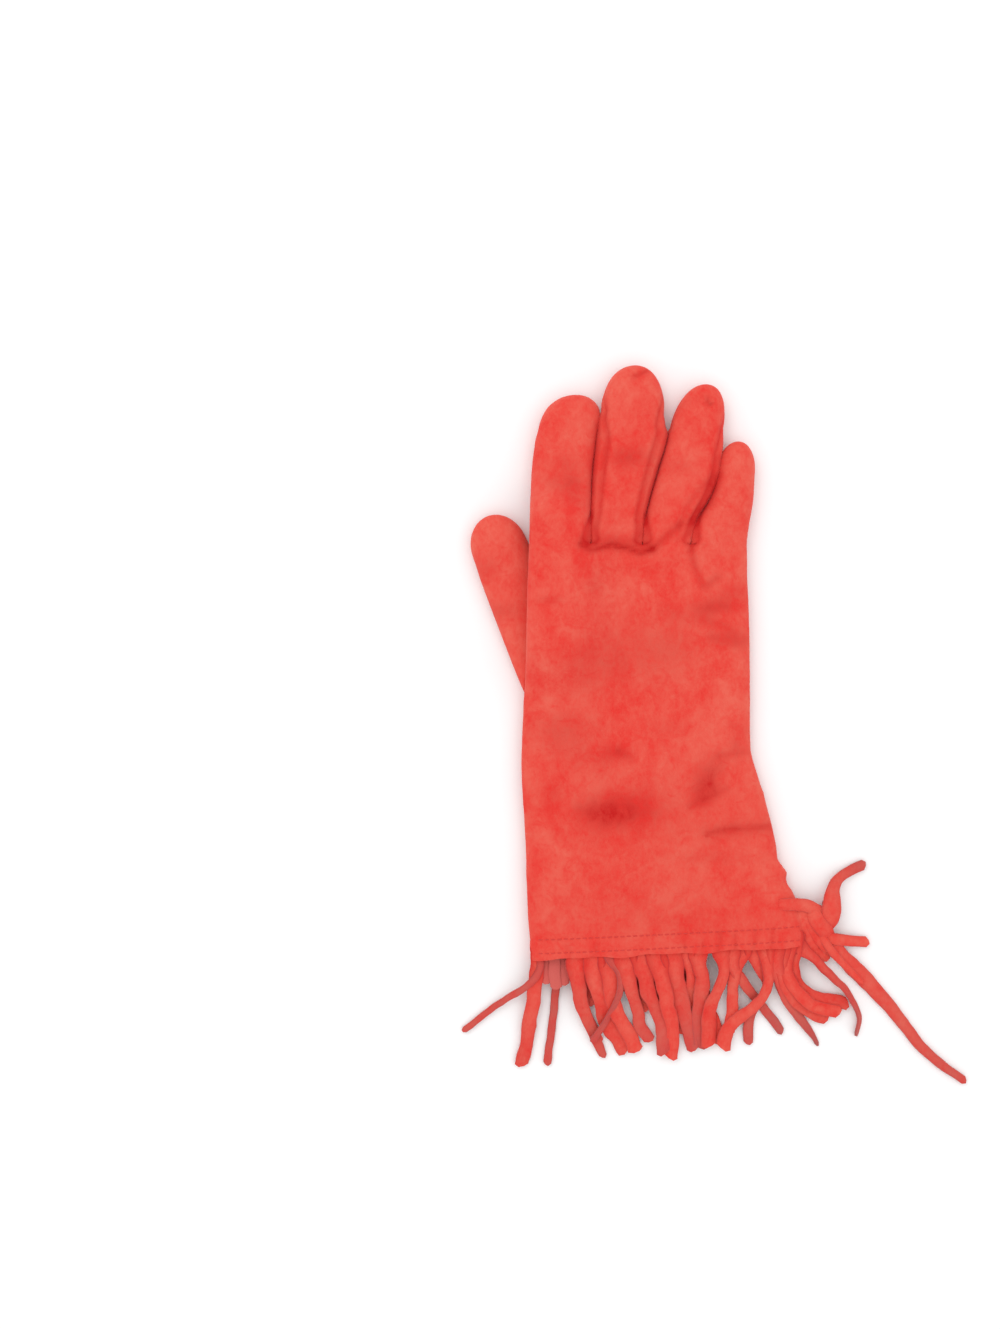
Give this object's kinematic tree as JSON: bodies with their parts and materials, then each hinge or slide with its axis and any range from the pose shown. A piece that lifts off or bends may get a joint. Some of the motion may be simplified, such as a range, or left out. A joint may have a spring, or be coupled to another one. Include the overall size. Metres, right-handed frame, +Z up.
{
  "type": "fringed suede glove",
  "caption": "Red suede glove for the right hand, lying palm down, with strips between the fingers, a set-in thumb, a leather fringe round the cuff and a knotted lace tie",
  "frame": {"origin": "on the table under the middle of the box round the glove and its fringe, the lace left out", "axes": "+Z up out of the back of the hand, +Y from the cuff to the fingertips, -X the thumb side"},
  "size_m": [0.216, 0.3114, 0.0216],
  "materials": {
    "suede": "matte napped suede",
    "fringe_suede": "matte napped suede, cut edges",
    "lace": "matte suede lace"
  },
  "bodies": {
    "root": {"back": "suede", "palm": "suede", "thumb": "suede", "fourchette_index_middle": "suede", "fourchette_middle_ring": "suede", "fourchette_ring_little": "suede", "fringe": "fringe_suede", "tie_strap": "lace", "tie_strap_low": "lace", "tie_knot": "lace", "tie_end_upper": "lace", "tie_end_side": "lace", "tie_end_long": "lace"}
  },
  "joints": []
}
